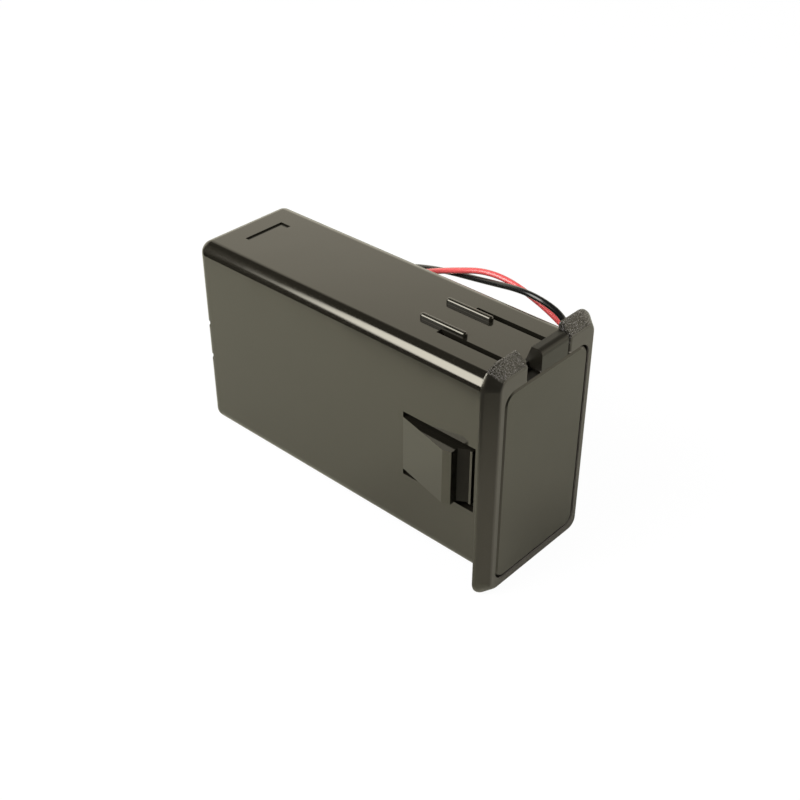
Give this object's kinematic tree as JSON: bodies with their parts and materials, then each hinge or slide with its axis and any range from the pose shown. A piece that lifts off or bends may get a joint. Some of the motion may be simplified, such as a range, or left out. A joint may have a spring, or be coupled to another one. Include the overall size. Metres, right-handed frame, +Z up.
{
  "type": "battery holder",
  "caption": "Snap-in panel holder for cylindrical cells: a closed sleeve with a bevelled flange, a slide-out drawer behind a latch tab, and red and black leads.",
  "frame": {"origin": "middle of the sleeve's section, in the plane where the flange seats on the panel", "axes": "+Y into the panel along the sleeve, -Y out of the drawer front, +Z up, +X towards the side where the leads leave"},
  "size_m": [0.0314, 0.065, 0.0419],
  "materials": {
    "housing_abs": "moulded, semi-gloss, spark-eroded on the flange's upper bevel",
    "drawer_abs": "moulded satin",
    "nickel_strip": "nickel plated",
    "spring_wire": "nickel plated wire",
    "rivet_brass": "plain",
    "tinned_tag": "tinned",
    "solder": "solder, smooth",
    "tinned_strands": "tinned strands",
    "red_insulation": "soft vinyl",
    "black_insulation": "soft vinyl"
  },
  "bodies": {
    "holder": {"housing": "housing_abs", "positive_contact": "nickel_strip", "negative_plate": "nickel_strip", "negative_spring": "spring_wire", "positive_rivet": "rivet_brass", "negative_rivet": "rivet_brass", "positive_tag": "tinned_tag", "negative_tag": "tinned_tag", "red_joint": "solder", "black_joint": "solder", "red_lead": "red_insulation", "black_lead": "black_insulation", "red_lead_tip": "tinned_strands", "black_lead_tip": "tinned_strands"},
    "drawer": {"drawer": "drawer_abs", "link_plate": "nickel_strip", "link_spring": "spring_wire"}
  },
  "joints": [
    {"name": "drawer_slide", "type": "slide", "parent": "holder", "child": "drawer", "axis": [0, -1, 0], "range_m": [0, 0.054]}
  ]
}
